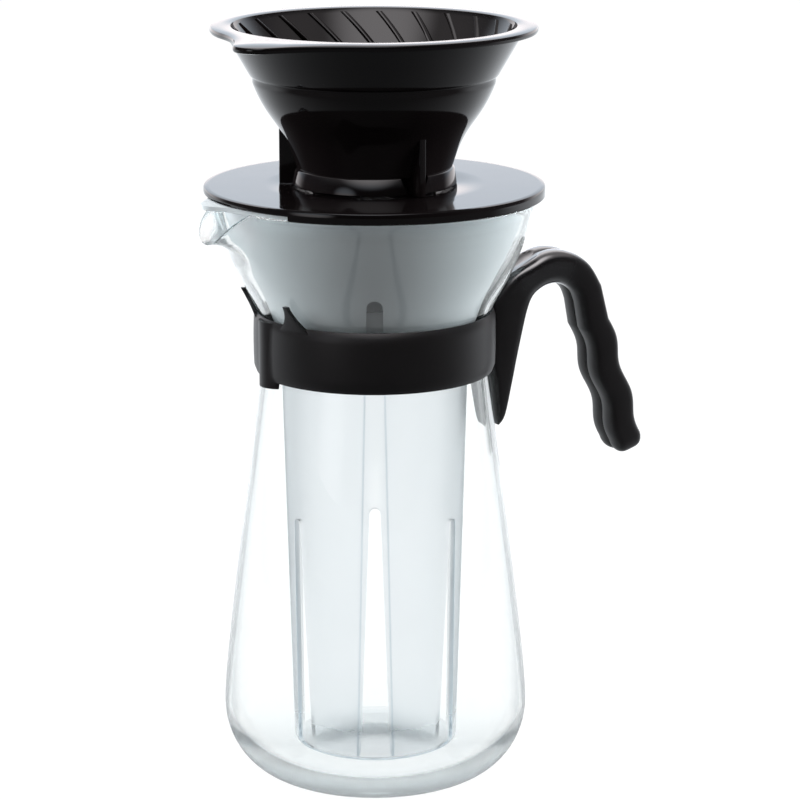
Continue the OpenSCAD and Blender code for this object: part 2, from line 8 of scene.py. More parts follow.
# %% Load the frame
import bmesh
import bpy
import json
import math
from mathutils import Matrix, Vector

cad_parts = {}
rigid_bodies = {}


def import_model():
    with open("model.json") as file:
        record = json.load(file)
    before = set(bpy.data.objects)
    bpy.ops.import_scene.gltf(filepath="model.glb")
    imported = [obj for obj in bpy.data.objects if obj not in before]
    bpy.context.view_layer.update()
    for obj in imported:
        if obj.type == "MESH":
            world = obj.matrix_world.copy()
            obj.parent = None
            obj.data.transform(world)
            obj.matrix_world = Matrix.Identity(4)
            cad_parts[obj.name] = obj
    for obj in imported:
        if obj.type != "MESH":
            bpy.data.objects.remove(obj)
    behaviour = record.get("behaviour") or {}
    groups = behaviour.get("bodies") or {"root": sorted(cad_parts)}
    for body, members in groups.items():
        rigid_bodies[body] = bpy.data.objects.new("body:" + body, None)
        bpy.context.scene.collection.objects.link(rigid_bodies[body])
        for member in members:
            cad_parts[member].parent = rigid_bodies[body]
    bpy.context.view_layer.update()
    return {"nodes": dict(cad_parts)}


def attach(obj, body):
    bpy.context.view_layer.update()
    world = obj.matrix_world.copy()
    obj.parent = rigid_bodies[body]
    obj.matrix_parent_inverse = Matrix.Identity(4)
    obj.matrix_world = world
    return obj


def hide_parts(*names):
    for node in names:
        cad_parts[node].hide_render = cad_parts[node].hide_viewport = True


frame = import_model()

MM = 0.001

# %% [markdown]
# ## The camera
#
# The photograph was taken from slightly above with a long lens. A lens can be guessed, but measuring is surer:
# the ellipses of the lid and the dripper's rim give the height and distance, and the handle gives the turn.

# %% Camera
LENS, SENSOR, CLIP_START = 136.8, 36, 0.05
CAMERA_TURN = math.radians(-26.0)
CAMERA_REACH = 1072 * MM
CAMERA_HEIGHT = 409 * MM
AIM_TURN, AIM_DOWN = -26.49, 14.11

camera_data = bpy.data.cameras.new("photo_camera")
camera_data.lens, camera_data.sensor_width, camera_data.clip_start = LENS, SENSOR, CLIP_START
camera = bpy.data.objects.new("photo_camera", camera_data)
camera.location = (CAMERA_REACH * math.sin(CAMERA_TURN), -CAMERA_REACH * math.cos(CAMERA_TURN), CAMERA_HEIGHT)
camera.rotation_euler = (math.radians(90 - AIM_DOWN), 0, math.radians(AIM_TURN))
bpy.context.scene.collection.objects.link(camera)
bpy.context.scene.camera = camera
print("camera at", [round(v, 3) for v in camera.location])

# %% [markdown]
# ## Shader sums as plain Python
#
# A finish is easier to read as sums than as a web of boxes. One small class wraps a socket, so that `1 - mask`
# adds a Math node, and one method adds every other kind of node.

# %% Sums on sockets
class Wire:
    """A shader socket that adds a Math node for each sum."""

    def __init__(self, finish, socket):
        self.finish, self.socket = finish, socket

    def sum(self, operation, first, second):
        return self.finish.add("ShaderNodeMath", {"operation": operation}, {0: first, 1: second})

    def __add__(self, other):
        return self.sum("ADD", self, other)

    def __sub__(self, other):
        return self.sum("SUBTRACT", self, other)

    def __mul__(self, other):
        return self.sum("MULTIPLY", self, other)

    def __truediv__(self, other):
        return self.sum("DIVIDE", self, other)

    def __rsub__(self, other):
        return self.sum("SUBTRACT", other, self)

    def __abs__(self):
        return self.sum("ABSOLUTE", self, 0.0)

    def at_least(self, other):
        return self.sum("MAXIMUM", self, other)

    __radd__ = __add__
    __rmul__ = __mul__


class Finish:
    """A material, or the world, whose nodes are added one by one."""

    def __init__(self, owner):
        owner.use_nodes = True
        self.owner, self.tree = owner, owner.node_tree
        self.tree.nodes.clear()

    def add(self, kind, settings=None, sockets=None, out=0):
        node = self.tree.nodes.new(kind)
        for name, value in (settings or {}).items():
            setattr(node, name, value)
        for name, value in (sockets or {}).items():
            self.feed(node.inputs[name], value)
        return Wire(self, node.outputs[out]) if node.outputs else node

    def feed(self, socket, value):
        if isinstance(value, Wire):
            self.tree.links.new(value.socket, socket)
        else:
            socket.default_value = value

    def place(self):
        return self.add("ShaderNodeTexCoord", out="Object")

    def ray(self, name):
        return self.add("ShaderNodeLightPath", out=name)

    def noise(self, scale, detail=2.0, rough=0.5):
        sockets = {"Vector": self.place(), "Scale": scale, "Detail": detail, "Roughness": rough}
        return self.add("ShaderNodeTexNoise", None, sockets)

    def tint(self, mask, low, high):
        return self.add("ShaderNodeMix", {"data_type": "RGBA"}, {"Factor": mask, 6: low, 7: high}, out=2)

    def mix(self, share, first, second):
        return self.add("ShaderNodeMixShader", None, {0: share, 1: first, 2: second})

    def bump(self, height, strength, depth):
        return self.add("ShaderNodeBump", None, {"Height": height, "Strength": strength, "Distance": depth})


def rgb(red, green, blue):
    return (red, green, blue, 1.0)


def between(mask, low, high):
    return mask * (high - low) + low


def along(vector, direction):
    """How far a vector reaches in a direction."""
    return vector.finish.add("ShaderNodeVectorMath", {"operation": "DOT_PRODUCT"},
                             {0: vector, 1: direction}, out="Value")


def ease(value, low, high, start=0.0, end=1.0):
    """A smooth change from start to end, while a value goes from low to high."""
    return value.finish.add("ShaderNodeMapRange", {"interpolation_type": "SMOOTHSTEP"},
                            {"Value": value, "From Min": low, "From Max": high, "To Min": start, "To Max": end})


print("shader sums ready")

# %% [markdown]
# ## The bright field
#
# In a photograph on white, clear glass shows only where it bends something darker into view. A studio puts grey
# cards at both sides of a lit sheet for this. Here the cards are sums on the ray's direction, so they cost no
# geometry and only rays through glass meet them. Light that bounced inside the glass is dimmed, and that draws
# its edges.

# %% Bright field
UP = (0.0, 0.0, 1.0)
BACK = (math.sin(-CAMERA_TURN), math.cos(-CAMERA_TURN), 0.0)
ASIDE = (math.cos(-CAMERA_TURN), -math.sin(-CAMERA_TURN), 0.0)
WHITE, CARD_TINT = rgb(1, 1, 1), rgb(0.84, 0.92, 1.0)
FIELD, BOUNCE_LOSS = 1.13, 0.13
CARD_GREY, CARD_BOUNCE_LOSS = 0.3, 0.5
NEAREST = 0.05


def bright_field(vector, inset):
    """How bright the sheet and its two cards are, seen along a vector."""
    spread = (abs(along(vector, ASIDE)) - inset) / along(vector, BACK).at_least(NEAREST)
    card = ease(spread, 0.22, 0.4) - ease(spread, 0.6, 0.75)
    bounced = ease(vector.finish.ray("Glossy Depth"), 0.0, 1.0)
    return FIELD - card * CARD_GREY - bounced * (BOUNCE_LOSS + card * CARD_BOUNCE_LOSS)


print("bright field faces", [round(v, 3) for v in BACK])

# %% [markdown]
# ## The room
#
# The photograph is a cut-out, so the camera sees plain white. Black plastic is black only where it mirrors
# something dim: the room is bright behind the object and overhead, and dim behind the camera. One world answers
# each kind of ray in its own way, which keeps white, black and glass from spoiling each other.

# %% World
scene = bpy.context.scene
scene.view_settings.view_transform = "Standard"
scene.cycles.max_bounces = 24
scene.cycles.glossy_bounces = 12
scene.cycles.transmission_bounces = 24

world = bpy.data.worlds.new("studio")
scene.world = world
room = Finish(world)
way = room.add("ShaderNodeTexCoord", out="Generated")
behind, rise = along(way, BACK), along(way, UP)


def soft_light(side, up, wide, power):
    """A round glow in the room, at an angle to the side of the camera and above it."""
    at = CAMERA_TURN + math.radians(side)
    flat = math.cos(math.radians(up))
    direction = (flat * math.sin(at), -flat * math.cos(at), math.sin(math.radians(up)))
    return ease(along(way, direction), math.cos(math.radians(wide)), 1.0, 0.0, power)


# What gloss mirrors, with a second bounce dimmed
backdrop = ease(behind, 0.4, 0.8, 0.0, 1.5) * ease(rise, 0.11, 0.2, 1.2, 1.0)
sides = ease(behind, -0.75, -0.3, 0.015, 0.06)
ceiling = ease(rise, 0.3, 0.7, 0.0, 0.55)
gloss_glow = backdrop + sides + ceiling + soft_light(-8, 56, 42, 3.2) + soft_light(-42, 6, 18, 1.6)
twice = ease(room.ray("Glossy Depth"), 1.0, 2.0, 1.0, 0.3)

# Which kind of ray asks
seen = room.ray("Is Camera Ray")
clear = seen.at_least(room.ray("Is Transmission Ray"))
bent = clear - seen
mirrored = room.ray("Is Glossy Ray") * (1 - clear)

# What glass bends into view, and what lights matt faces
field = bright_field(way, 0.0) * ease(behind, -0.2, 0.5, 0.5, 1.0) * ease(rise, 0.15, 0.45, 1.0, 0.4)
ambient = ease(behind, -0.4, 0.0, 0.25, 0.9)
strength = gloss_glow * twice * mirrored + seen + bent * field + (1 - mirrored) * (1 - clear) * ambient

WARM_LOW, COOL_HIGH = rgb(1, 0.96, 0.98), rgb(0.84, 0.92, 1.02)
cool = room.tint(ease(rise, 0.1, 0.19) * ease(rise, 0.3, 0.6, 1.0, 0.0), WARM_LOW, COOL_HIGH)
grey = room.tint(bent * (1 - field), WHITE, CARD_TINT)
shine = room.add("ShaderNodeBackground", None, {"Color": room.tint(mirrored, grey, cool), "Strength": strength})
room.add("ShaderNodeOutputWorld", None, {"Surface": shine})
print("world:", len(world.node_tree.nodes), "nodes")

# %% [markdown]
# ## The floor
#
# A sheet of white paper carries the object. Lit paper would come out grey in places, so most of what the camera
# sees of it is plain white, and a small share stays matt to keep a faint shadow. Rays through glass see the room's
# grey cards painted into the paper's glow. Gloss and matt bounces see a painted glow that fades towards the camera,
# as a real sheet lit from behind does.

# %% Floor
FLOOR_HALF, FLOOR_SINK = 3.0, 0.2 * MM
PAPER_WHITE, PLAIN_SHARE, CARD_INSET = 1.05, 0.89, 0.045
PAPER_SHINE = rgb(0.92, 0.96, 1.0)

floor_mesh = bmesh.new()
bmesh.ops.create_grid(floor_mesh, x_segments=1, y_segments=1, size=FLOOR_HALF)
floor_data = bpy.data.meshes.new("floor")
floor_mesh.to_mesh(floor_data)
floor_mesh.free()
floor = bpy.data.objects.new("floor", floor_data)
floor.location.z = -FLOOR_SINK
scene.collection.objects.link(floor)

paper = Finish(bpy.data.materials.new("white_paper"))
paper_camera = paper.ray("Is Camera Ray")
paper_seen = paper_camera.at_least(paper.ray("Is Transmission Ray"))
paper_bent = paper_seen - paper_camera
paper_soft = (paper.ray("Is Glossy Ray") + paper.ray("Is Diffuse Ray")) * (1 - paper_seen)
paper_back = along(paper.place(), BACK)

paper_grain = paper.tint(paper.noise(220), rgb(0.86, 0.86, 0.86), rgb(0.88, 0.88, 0.88))
matte = paper.add("ShaderNodeBsdfDiffuse", None, {"Color": paper_grain})
# Painted light: rays through glass see the room's grey cards on the paper, in a cool tint.
paper_field = bright_field(paper.place(), CARD_INSET) * ease(paper_back, -0.1, 0.0, 0.9, 1.0)
paper_white = paper_bent * paper_field + PAPER_WHITE * paper_camera
paper_card_tint = paper.tint(paper_bent * (1 - paper_field), WHITE, CARD_TINT)
plain = paper.add("ShaderNodeEmission", None, {"Color": paper_card_tint, "Strength": paper_white})
# Painted glow: the paper's light fades towards the camera for gloss and matt bounces.
table_glow = ease(paper_back, -0.25, 0.5, 0.1, 1.2)
table_shine = paper.add("ShaderNodeEmission", None, {"Color": PAPER_SHINE, "Strength": table_glow})
paper_all = paper.mix(paper_soft, paper.mix(paper_seen * PLAIN_SHARE, matte, plain), table_shine)
paper.add("ShaderNodeOutputMaterial", None, {"Surface": paper_all})
floor_data.materials.append(paper.owner)
print("floor:", len(paper.tree.nodes), "nodes")

# %% [markdown]
# ## The lamps
#
# Two wide softboxes at the sides and a weak one overhead light the matt faces, as in most product photographs.
# Gloss and glass don't see them, because the room already holds what those mirror and bend.

# %% Lamps
LAMP_COLOUR, LAMP_AIM = (0.88, 0.97, 1.0), (0, 0, 0.15)
LAMP_REACH, LAMP_HEIGHT = 1.5, 0.6


def softbox(name, place, wide, high, power):
    lamp = bpy.data.lights.new(name, "AREA")
    lamp.shape, lamp.size, lamp.size_y, lamp.energy = "RECTANGLE", wide, high, power
    lamp.color = LAMP_COLOUR
    box = bpy.data.objects.new(name, lamp)
    box.location = place
    box.rotation_euler = (Vector(LAMP_AIM) - Vector(place)).to_track_quat("-Z", "Y").to_euler()
    box.visible_glossy = box.visible_transmission = False
    scene.collection.objects.link(box)


for name, side, power in (("left_softbox", -100, 30), ("right_softbox", 100, 35)):
    at = CAMERA_TURN + math.radians(side)
    softbox(name, (LAMP_REACH * math.sin(at), -LAMP_REACH * math.cos(at), LAMP_HEIGHT), 1.6, 1.0, power)
softbox("top_softbox", (0.15, 0.35, 1.3), 1.0, 1.0, 8)

# %% [markdown]
# ## The finishes
#
# Five finishes dress the object: clear glass, frosted plastic, gloss black, satin black and steel. Each has the
# small unevenness of the real one, because a perfectly even surface looks like a drawing. Three helpers make the
# shader, close the material and let trapped light out of a clear wall.

# %% Finish helpers
def new_finish(name):
    return Finish(bpy.data.materials.new(name))


def skin(finish, base, rough, normal, **constants):
    """A Principled shader. Constants go on its own sockets."""
    sockets = {"Base Color": base, "Roughness": rough, "Normal": normal}
    sockets.update({name.replace("_", " "): value for name, value in constants.items()})
    return finish.add("ShaderNodeBsdfPrincipled", None, sockets)


def close(finish, surface, volume=None):
    sockets = {"Surface": surface}
    if volume:
        sockets["Volume"] = volume
    finish.add("ShaderNodeOutputMaterial", None, sockets)
    print(finish.owner.name, "has", len(finish.tree.nodes), "nodes")
    return finish.owner


def let_out(finish, surface, share, soft):
    """Lets a share of the light that bounces in a clear wall leave straight on, as uneven real walls do.
    Light on its way to a matt face meets soft instead."""
    straight = finish.add("ShaderNodeBsdfRefraction", None, {"IOR": 1.0, "Roughness": 0.0})
    part = finish.mix(share, surface, straight)
    sharp = finish.mix(finish.ray("Is Reflection Ray"), surface, part)
    return finish.mix(finish.ray("Is Diffuse Ray"), sharp, soft)


print("finish helpers ready")

# %% [markdown]
# ## Clear glass
#
# Blown glass is faintly uneven and turns grey-blue where a long way through it adds up. A tint on the surface
# would colour thin and thick walls alike, so the colour is absorbed in the volume. Lamps' shadows pass straight
# through, which spares the renderer the caustics.

# %% Clear glass
GLASS_IOR, GLASS_LET_OUT = 1.47, 0.4
GLASS_SOAK, GLASS_DENSITY = rgb(0.72, 0.91, 0.95), 20.0
GLASS_SHADOW = rgb(0.94, 0.96, 0.96)
glass = new_finish("clear_glass")
glass_wall = skin(
    glass,
    glass.tint(glass.noise(9, 1), rgb(0.993, 0.998, 0.998), WHITE),
    between(glass.noise(60, 2), 0.0, 0.012),
    glass.bump(glass.noise(22, 1), 0.05, 0.0006),
    Transmission_Weight=1.0, IOR=GLASS_IOR)
through = glass.add("ShaderNodeBsdfTransparent", None, {"Color": GLASS_SHADOW})
glass_mix = glass.mix(glass.ray("Is Shadow Ray"), let_out(glass, glass_wall, GLASS_LET_OUT, through), through)
soak = glass.add("ShaderNodeVolumeAbsorption", None, {"Color": GLASS_SOAK, "Density": GLASS_DENSITY})
clear_glass = close(glass, glass_mix, soak)

# %% [markdown]
# ## Frosted plastic
#
# The strainer is one moulding, but its two ends look different: the tube lets the light through and stays pale,
# and the funnel catches it on a sandy skin. The funnel's darker grey is painted shade from the black lid and
# dripper above it, and it turns pale again up to a white flange. Two shaders are blended by height. The thin
# dark edge lines of the near flute are painted shade in the colour, because the rough wall blurs them away.

# %% Frosted plastic
FUNNEL_LOW, FUNNEL_HIGH = 0.166, 0.180
FLANGE_LOW, FLANGE_HIGH = 0.208, 0.2152
TUBE_LOW, TUBE_HIGH, TUBE_CLEAR = 0.01, 0.03, 0.35
FLUTE_TURN = math.radians(244)
FLUTE_HALF, FLUTE_TAPER = 0.0066, 0.0207
# Painted shade: the colour of the dark lines along the near flute's edges.
FLUTE_EDGE_SHADE = rgb(0.76, 0.8, 0.83)
MILK, MILK_DENSITY = rgb(0.80, 0.87, 0.91), 75.0

frost = new_finish("frosted_plastic")
height = along(frost.place(), UP)
flute_off = abs(along(frost.place(), (-math.sin(FLUTE_TURN), math.cos(FLUTE_TURN), 0.0)))
flute_half = FLUTE_HALF - height * FLUTE_TAPER
# Painted shade: a thin mask along the near flute's edges, where the dark lines go.
flute_shade_edge = ease(abs(flute_off - flute_half), 0.0001, 0.0006, 1.0, 0.0)
sandy = frost.bump(frost.noise(2600, 2), 0.05, 0.0001)
tube_pale = frost.tint(frost.noise(35, 3), rgb(0.985, 0.99, 0.995), WHITE)
tube_skin = skin(
    frost,
    frost.tint(flute_shade_edge, tube_pale, FLUTE_EDGE_SHADE),
    between(frost.noise(180, 3), 0.3, 0.38) * ease(height, TUBE_LOW, TUBE_HIGH, TUBE_CLEAR, 1.0),
    sandy, Transmission_Weight=0.97, IOR=1.2)
# Painted shade: the funnel's darker grey stands in for the shade of the black lid and dripper above it.
funnel_painted_shade = frost.tint(frost.noise(35, 3), rgb(0.69, 0.69, 0.70), rgb(0.75, 0.75, 0.76))
funnel_skin = skin(
    frost,
    frost.tint(ease(height, FLANGE_LOW, FLANGE_HIGH), funnel_painted_shade, rgb(0.94, 0.96, 0.98)),
    between(frost.noise(180, 3), 0.62, 0.74),
    sandy, Transmission_Weight=0.04, IOR=1.3)
frost_mix = frost.mix(ease(height, FUNNEL_LOW, FUNNEL_HIGH), tube_skin, funnel_skin)
milk = frost.add("ShaderNodeVolumeAbsorption", None, {"Color": MILK, "Density": MILK_DENSITY})
frosted_plastic = close(frost, let_out(frost, frost_mix, 1.0, frost_mix), milk)

# %% [markdown]
# ## Black plastic and steel
#
# The lid and dripper are moulded with a polished skin and the odd soft flow mark. The band and handle come from
# a finely sparked mould, and the scoop for the thumb is polished. The screw and nut show the fine tool marks of
# turning. Each is one shader, with noise in its colour, roughness and bump.

# %% Black plastic and steel
PLASTIC_IOR = 1.45
gloss = new_finish("gloss_black")
gloss_black = close(gloss, skin(
    gloss,
    gloss.tint(gloss.noise(40, 3), rgb(0.0065, 0.0045, 0.0048), rgb(0.0095, 0.007, 0.0072)),
    between(gloss.noise(90, 4, 0.6), 0.05, 0.11),
    gloss.bump(gloss.noise(55, 1), 0.04, 0.0004),
    IOR=PLASTIC_IOR))

THUMB, THUMB_IN, THUMB_OUT, THUMB_GAIN = (0.0655, 0.0, 0.187), 0.012, 0.02, 0.2
satin = new_finish("satin_black")
thumb_way = satin.add("ShaderNodeVectorMath", {"operation": "DISTANCE"}, {0: satin.place(), 1: THUMB}, out="Value")
polished = ease(thumb_way, THUMB_IN, THUMB_OUT, 1.0, 0.0)
satin_black = close(satin, skin(
    satin,
    satin.tint(satin.noise(70, 4), rgb(0.0085, 0.007, 0.0075), rgb(0.013, 0.011, 0.0115)),
    between(satin.noise(28, 3), 0.34, 0.44) - polished * THUMB_GAIN,
    satin.bump(satin.noise(1900, 2) * (1 - polished), 0.18, 0.00012),
    IOR=PLASTIC_IOR, Coat_Weight=polished, Coat_Roughness=0.12, Coat_IOR=2.0))

steel = new_finish("turned_steel")
turned_steel = close(steel, skin(
    steel,
    steel.tint(steel.noise(300, 2), rgb(0.56, 0.56, 0.58), rgb(0.68, 0.68, 0.69)),
    between(steel.noise(900, 3), 0.22, 0.38),
    steel.bump(steel.noise(1500, 2), 0.1, 0.0001),
    Metallic=1.0))

# %% [markdown]
# ## Helpers for turned and bridged shapes
#
# Most of this object was turned or blown, so most pieces start as an outline spun round the axis. The others
# are rings of points that a bridge joins. Outlines are in millimetres, as a drawing would give them.

# %% Helpers
MERGE = 1e-7


def bow(points, steps):
    """Points on the smooth curve that four points pull."""
    made = []
    for i in range(steps + 1):
        t = i / steps
        weights = ((1 - t) ** 3, 3 * (1 - t) ** 2 * t, 3 * (1 - t) * t * t, t ** 3)
        made.append(tuple(sum(w * p[k] for w, p in zip(weights, points)) for k in (0, 1)))
    return made


def arc(middle, r, start, end, steps):
    """Points on a part of a circle."""
    turns = [start + (end - start) * i / steps for i in range(steps + 1)]
    return [(middle[0] + r * math.cos(a), middle[1] + r * math.sin(a)) for a in turns]


def spot(r, a, z):
    """The point at a radius, an angle and a height."""
    return (r * math.cos(a), r * math.sin(a), z)


def spun(outline, steps):
    """A mesh made by spinning an outline of (radius, height) points round the axis."""
    bm = bmesh.new()
    row = [bm.verts.new((r * MM, 0, z * MM)) for r, z in outline]
    edges = [bm.edges.new(pair) for pair in zip(row, row[1:])]
    bmesh.ops.spin(bm, geom=row + edges, axis=UP, cent=(0, 0, 0), angle=2 * math.pi, steps=steps,
                   use_merge=True, use_duplicate=False)
    bmesh.ops.remove_doubles(bm, verts=bm.verts, dist=MERGE)
    bmesh.ops.recalc_face_normals(bm, faces=bm.faces)
    return bm


def ring(bm, points):
    """A closed loop of edges through points in millimetres."""
    loop = [bm.verts.new(Vector(p) * MM) for p in points]
    return [bm.edges.new((a, b)) for a, b in zip(loop, loop[1:] + loop[:1])]


def bridged(bm, rings, cap=True):
    """Faces between loops of edges, with the first and last filled."""
    for low, high in zip(rings, rings[1:]):
        bmesh.ops.bridge_loops(bm, edges=low + high)
    if cap:
        bmesh.ops.edgeloop_fill(bm, edges=rings[0])
        bmesh.ops.edgeloop_fill(bm, edges=rings[-1])


def joined(bm, other):
    """Adds another mesh's faces to this one."""
    data = bpy.data.meshes.new("joined")
    other.to_mesh(data)
    other.free()
    bm.from_mesh(data)
    bpy.data.meshes.remove(data)


def piece(name, bm, body, node, finish, sharp=35):
    """Makes the mesh an object that stands for a node, shaded smooth up to an angle."""
    bmesh.ops.recalc_face_normals(bm, faces=bm.faces)
    data = bpy.data.meshes.new(name)
    bm.to_mesh(data)
    bm.free()
    data.shade_smooth()
    data.set_sharp_from_angle(angle=math.radians(sharp))
    data.materials.append(finish)
    made = bpy.data.objects.new(name, data)
    scene.collection.objects.link(made)
    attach(made, body)
    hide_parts(node)
    print(name, len(data.polygons), "faces")
    return made


def repaint(node, finish):
    """Gives a node that stays a better material."""
    data = frame["nodes"][node].data
    data.materials.clear()
    data.materials.append(finish)
    print(node, "keeps its solid, in", finish.name)


print("shape helpers ready")

# %% [markdown]
# ## The wall of the glass server
#
# Blown glass has no corners: a wide foot, a tapering body, a waist for the band and a flared mouth. It could be
# bevelled from a solid, but one outline, up the outside, over a round rim and back down the inside, keeps the
# wall even everywhere.

# %% Glass wall
GLASS_T, FLOOR_T, GLASS_TOP = 2.2, 5.0, 215.2
BASE_R, BELLY_R, BELLY_Z = 33.5, 55.8, 26.0
NECK_R, NECK_Z, RIM_R = 40.2, 162.0, 57.5
BELLY_PULL, WAIST_PULL, FLARE_PULL, RIM_PULL = 20, 11, 19, 35
RIM_LEAN = 0.2
RIM_Z = GLASS_TOP - GLASS_T / 2 * (1 + RIM_LEAN)
RIM_ROUND_STEPS = 8


def quarter(r, z, wide, high, steps):
    """A quarter of an ellipse from the bottom of a corner to its side."""
    turns = [math.pi / 2 * i / steps for i in range(steps + 1)]
    return [(r + wide * math.sin(a), z + high * (1 - math.cos(a))) for a in turns]


def heading(start, end):
    """The direction from one point of an outline to another."""
    return Vector((end[0] - start[0], end[1] - start[1])).normalized()


def inside_of(points, gap):
    """The same line moved inward, square to itself."""
    made = []
    for i, (r, z) in enumerate(points):
        way_on = heading(points[max(i - 1, 0)], points[min(i + 1, len(points) - 1)])
        made.append((r - gap * way_on.y, z + gap * way_on.x))
    return made


body_out = bow([(BELLY_R, BELLY_Z), (BELLY_R, BELLY_Z + BELLY_PULL),
                (NECK_R, NECK_Z - WAIST_PULL), (NECK_R, NECK_Z)], 44)
flare_out = bow([(NECK_R, NECK_Z), (NECK_R, NECK_Z + FLARE_PULL),
                 (RIM_R - RIM_LEAN * RIM_PULL, RIM_Z - RIM_PULL), (RIM_R, RIM_Z)], 36)
wall = body_out + flare_out[1:]


def wall_r(z):
    """Radius of the glass outside at a height."""
    for (r0, z0), (r1, z1) in zip(wall, wall[1:]):
        if z0 <= z <= z1:
            return r0 + (r1 - r0) * (z - z0) / max(z1 - z0, 1e-9)
    return wall[0][0] if z < wall[0][1] else wall[-1][0]


rim_side = heading(flare_out[-2], flare_out[-1])
rim_out = Vector((rim_side.y, -rim_side.x))
rim_mid = Vector(flare_out[-1]) - GLASS_T / 2 * rim_out
rim_round = [tuple(rim_mid + GLASS_T / 2 * (math.cos(a) * rim_out + math.sin(a) * rim_side))
             for a in [math.pi * i / RIM_ROUND_STEPS for i in range(1, RIM_ROUND_STEPS)]]
under = [(0, 1.5), (12, 1.4), (20, 0.9), (26.5, 0.25), (30, 0.0)]
floor_in = [(0, FLOOR_T), (20, FLOOR_T)]
glass_outline = (
    under + quarter(BASE_R, 0, BELLY_R - BASE_R, BELLY_Z, 18) + wall[1:] + rim_round
    + inside_of(wall, GLASS_T)[::-1][:-1]
    + quarter(BASE_R - GLASS_T, FLOOR_T, BELLY_R - BASE_R, BELLY_Z - FLOOR_T, 16)[::-1]
    + floor_in[::-1])
print("glass outline:", len(glass_outline), "points")

# %% [markdown]
# ## The pouring lip
#
# A glassworker presses the lip into the soft rim with a tool. The mesh copies that: the outline is spun whole,
# and then points near the rim are pulled out and down, most in the middle of the lip and less to its sides. A lip
# made apart and joined on would leave a seam.

# %% Glass server
GLASS_STEPS = 240
LIP_REACH, LIP_DROP, LIP_DEPTH = 7.8, 11.0, 22.0
LIP_HALF = math.radians(17)
REACH_POWER, DROP_POWER = 2, 1.2


def lip_share(off, power):
    share = abs(off) / LIP_HALF
    return math.cos(math.pi / 2 * share ** power) ** 2 if share < 1 else 0.0


glass_bm = spun(glass_outline, GLASS_STEPS)
for v in glass_bm.verts:
    x, y, z = (c / MM for c in v.co)
    ramp = max(0.0, (z - RIM_Z + LIP_DEPTH) / LIP_DEPTH) ** 2
    off = math.atan2(y, -x)
    if ramp and abs(off) < LIP_HALF:
        r = math.hypot(x, y)
        grown = (r + LIP_REACH * ramp * lip_share(off, REACH_POWER)) / r
        v.co = Vector((x * grown, y * grown, z - LIP_DROP * ramp * lip_share(off, DROP_POWER))) * MM
piece("blown_glass", glass_bm, "server", "glass_server", clear_glass, sharp=80)

# %% [markdown]
# ## The ice strainer and the lid
#
# The strainer's solid already has its windows, flutes and tongue, so it keeps its mesh and gets the frosted
# finish. The lid is spun again, because a moulded edge is never sharp: a small round catches the light. Its
# skirt stops short of the lip, so it is bridged from sections instead.

# %% Strainer and lid
repaint("ice_strainer", frosted_plastic)

LID_R, LID_Z, LID_TOP, LID_MID, HOLE_R = 61.0, 217.2, 219.5, 40, 24.0
EDGE, HOLE_EDGE, LOW_EDGE, CORNER = 0.6, 0.4, 0.2, 0.3
LID_STEPS = 192
lid_outline = [
    (HOLE_R, LID_Z + LOW_EDGE), (HOLE_R, LID_TOP - HOLE_EDGE),
    (HOLE_R + CORNER * HOLE_EDGE, LID_TOP - CORNER * HOLE_EDGE), (HOLE_R + HOLE_EDGE, LID_TOP),
    (LID_MID, LID_TOP), (LID_R - 2, LID_TOP), (LID_R - EDGE, LID_TOP),
    (LID_R - CORNER * EDGE, LID_TOP - CORNER * EDGE), (LID_R, LID_TOP - EDGE), (LID_R, LID_Z + LOW_EDGE),
    (LID_R - LOW_EDGE, LID_Z), (LID_MID, LID_Z), (HOLE_R + LOW_EDGE, LID_Z), (HOLE_R, LID_Z + LOW_EDGE)]
lid_bm = spun(lid_outline, LID_STEPS)

RING_R, RING_T, RING_H, RING_EDGE = 51.9, 1.8, 1.8, 0.3
ring_in, ring_low = RING_R - RING_T, LID_Z - RING_H
ring_outline = [
    (ring_in, LID_Z), (ring_in, ring_low + RING_EDGE), (ring_in + RING_EDGE, ring_low),
    (RING_R - RING_EDGE, ring_low), (RING_R, ring_low + RING_EDGE), (RING_R, LID_Z)]
joined(lid_bm, spun(ring_outline, LID_STEPS))

SKIRT_IN, SKIRT_H, SKIRT_EDGE = 59.1, 1.8, 0.3
SKIRT_CUT, SKIRT_STEPS = math.radians(35), 150
skirt_low, skirt_top = LID_Z - SKIRT_H, LID_Z + SKIRT_EDGE
skirt_section = [(SKIRT_IN, skirt_top), (SKIRT_IN, skirt_low), (LID_R - SKIRT_EDGE, skirt_low),
                 (LID_R, skirt_low + SKIRT_EDGE), (LID_R, skirt_top)]
skirt_bm = bmesh.new()
skirt_rings = []
for i in range(SKIRT_STEPS + 1):
    a = math.pi + SKIRT_CUT + (2 * math.pi - 2 * SKIRT_CUT) * i / SKIRT_STEPS
    skirt_rings.append(ring(skirt_bm, [spot(r, a, z) for r, z in skirt_section]))
bridged(skirt_bm, skirt_rings)
joined(lid_bm, skirt_bm)
piece("moulded_lid", lid_bm, "cover", "lid", gloss_black)

# %% [markdown]
# ## The rim and tab of the dripper
#
# The dripper's flat rim runs out into a finger tab. Its outline is four arcs that touch: the tip, a hollow at each
# side and the rim itself. The tab could be joined to a spun rim, but then its hollow sides would meet the rim in
# a crease. Every ring of the body below has its points at these same angles, close together round the tab.

# %% Rim and tab
DRIP_Z, DRIP_TOP = 219.7, 276.2
BRIM_R, BRIM_T = 58.0, 2.4
TAB_TURN = math.radians(209)
TAB_REACH, TAB_END_R, TAB_BLEND_R = 18.0, 9.0, 60.0
TIP_STEPS, HOLLOW_STEPS, RIM_STEPS = 12, 18, 66


